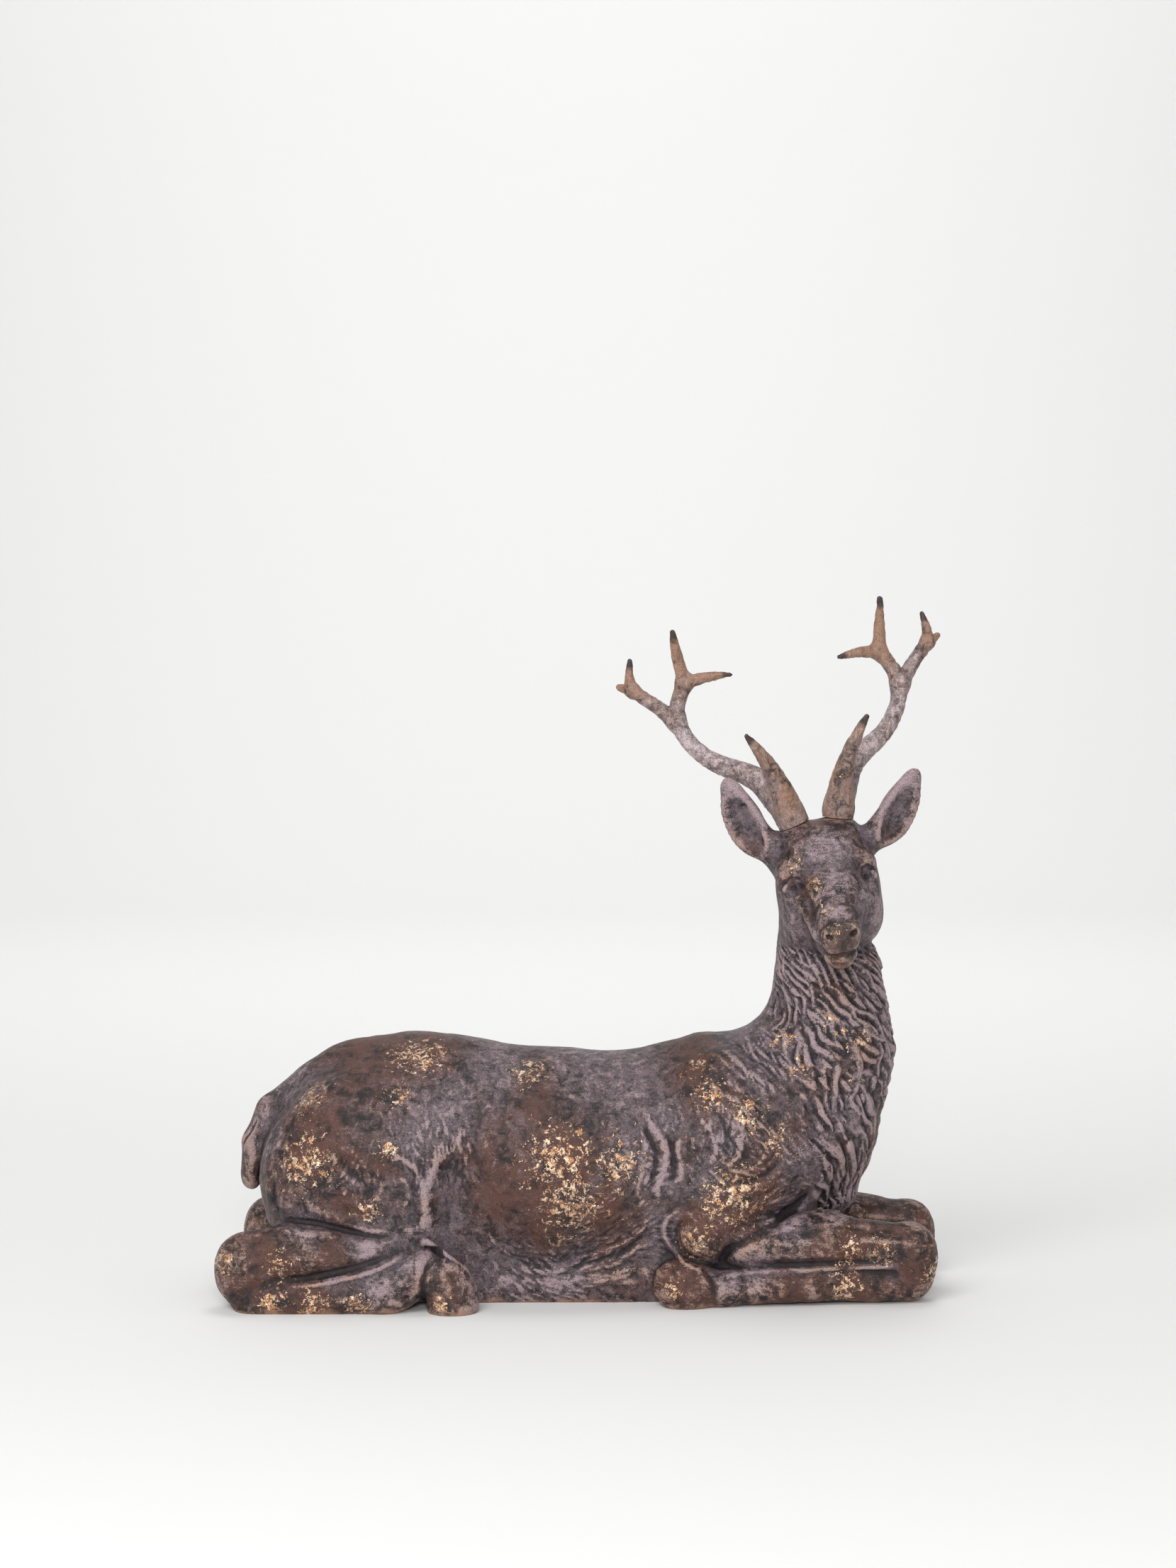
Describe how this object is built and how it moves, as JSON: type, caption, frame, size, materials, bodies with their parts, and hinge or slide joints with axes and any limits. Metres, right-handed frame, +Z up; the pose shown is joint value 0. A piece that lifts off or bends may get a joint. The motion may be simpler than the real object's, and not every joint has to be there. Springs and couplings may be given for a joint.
{
  "type": "reindeer figurine",
  "caption": "Tabletop figurine of a stag lying with folded legs, its head turned to its right, with branching antlers and a carved mane.",
  "frame": {"origin": "centre of the footprint of the bounding box, on the ground", "axes": "+X the way the stag's body faces, -Y its right side, where its face is turned, +Z up"},
  "size_m": [0.3054, 0.115, 0.293],
  "materials": {
    "antique_bronze_resin": "cast resin painted as dark antique bronze, with lilac-grey wash and worn gold leaf",
    "antler_right_resin": "cast resin painted brown, dry-brushed tan",
    "antler_left_resin": "cast resin painted brown, dry-brushed tan"
  },
  "bodies": {
    "root": {"stag_body": "antique_bronze_resin", "antler_right": "antler_right_resin", "antler_left": "antler_left_resin"}
  },
  "joints": []
}
